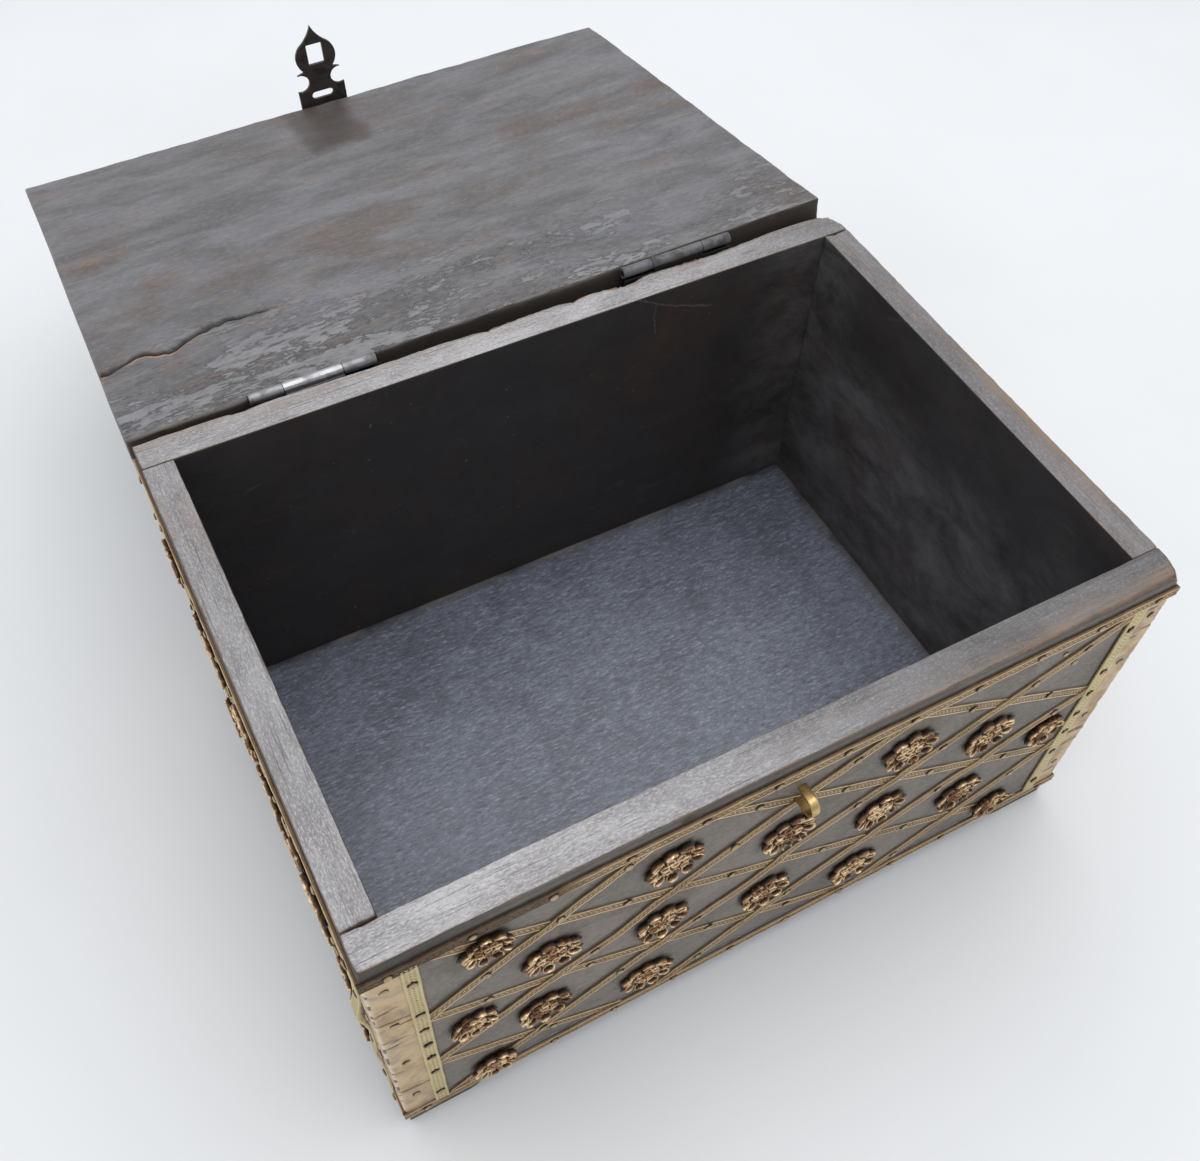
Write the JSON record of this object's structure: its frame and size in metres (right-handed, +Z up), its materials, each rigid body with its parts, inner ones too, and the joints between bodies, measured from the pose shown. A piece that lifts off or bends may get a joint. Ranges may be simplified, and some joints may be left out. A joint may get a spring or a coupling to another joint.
{
  "type": "damchiya chest",
  "caption": "Small wooden chest with a hinged lid that stands open, sheet brass lattice and stamped rosettes on its front and sides, a slotted hasp and a staple.",
  "frame": {"origin": "on the ground, under the middle of the box", "axes": "+X along the front from left to right, +Y to the back and over the open lid, +Z up"},
  "size_m": [0.3604, 0.5257, 0.1931],
  "materials": {
    "dark_wood": "dark stained hardwood, worn satin",
    "lid_wood": "dark stained hardwood, worn and streaked",
    "floor_wood": "dark paint with a satin sheen",
    "strip_brass": "embossed sheet brass, dull with dark recesses",
    "plate_brass": "thin sheet brass, pale and wrinkled",
    "rosette_brass": "stamped coppery brass, bright ridges over dark recesses",
    "tack_brass": "rubbed brass tack heads",
    "staple_brass": "rubbed bright brass",
    "hinge_steel": "grey steel, rubbed bright on the middle knuckle",
    "dark_iron": "blackened wrought iron",
    "nail_iron": "plain iron nails"
  },
  "bodies": {
    "box": {"back_board": "dark_wood", "bottom_board": "floor_wood", "bottom_nails": "nail_iron", "corner_nails": "nail_iron", "corner_plate_back_left": "plate_brass", "corner_plate_back_right": "plate_brass", "corner_plate_front_left": "plate_brass", "corner_plate_front_right": "plate_brass", "foot_back_left": "dark_wood", "foot_back_right": "dark_wood", "foot_front_left": "dark_wood", "foot_front_right": "dark_wood", "foot_nails": "nail_iron", "front_board": "dark_wood", "front_bottom_strip": "strip_brass", "front_falling_strips": "strip_brass", "front_left_edge_strip": "strip_brass", "front_nails": "tack_brass", "front_right_edge_strip": "strip_brass", "front_rising_strips": "strip_brass", "front_rosettes": "rosette_brass", "front_top_strip": "strip_brass", "hinge_box_nails": "hinge_steel", "left_back_edge_strip": "strip_brass", "left_board": "dark_wood", "left_bottom_strip": "strip_brass", "left_falling_strips": "strip_brass", "left_front_edge_strip": "strip_brass", "left_hinge_box_leaf": "hinge_steel", "left_hinge_pin": "hinge_steel", "left_nails": "tack_brass", "left_rising_strips": "strip_brass", "left_rosettes": "rosette_brass", "left_top_strip": "strip_brass", "right_back_edge_strip": "strip_brass", "right_board": "dark_wood", "right_bottom_strip": "strip_brass", "right_falling_strips": "strip_brass", "right_front_edge_strip": "strip_brass", "right_hinge_box_leaf": "hinge_steel", "right_hinge_pin": "hinge_steel", "right_nails": "tack_brass", "right_rising_strips": "strip_brass", "right_rosettes": "rosette_brass", "right_top_strip": "strip_brass", "staple": "staple_brass"},
    "lid": {"lid_board": "lid_wood", "left_hinge_lid_leaf": "hinge_steel", "right_hinge_lid_leaf": "hinge_steel", "hinge_lid_nails": "hinge_steel", "hasp_strap": "dark_iron", "hasp_strap_nails": "dark_iron", "hasp_pin": "dark_iron"},
    "hasp": {"hasp": "dark_iron"}
  },
  "joints": [
    {"name": "lid_hinge", "type": "hinge", "parent": "box", "child": "lid", "pos_m": [0, 0.129, 0.1886], "axis": [0.9999, -0.007, 0.014], "range_deg": [0, 190]},
    {"name": "hasp_hinge", "type": "hinge", "parent": "lid", "child": "hasp", "pos_m": [0.00243, 0.38701, 0.13732], "axis": [-0.9995, 0.0114, -0.0289], "range_deg": [0, 175]}
  ]
}
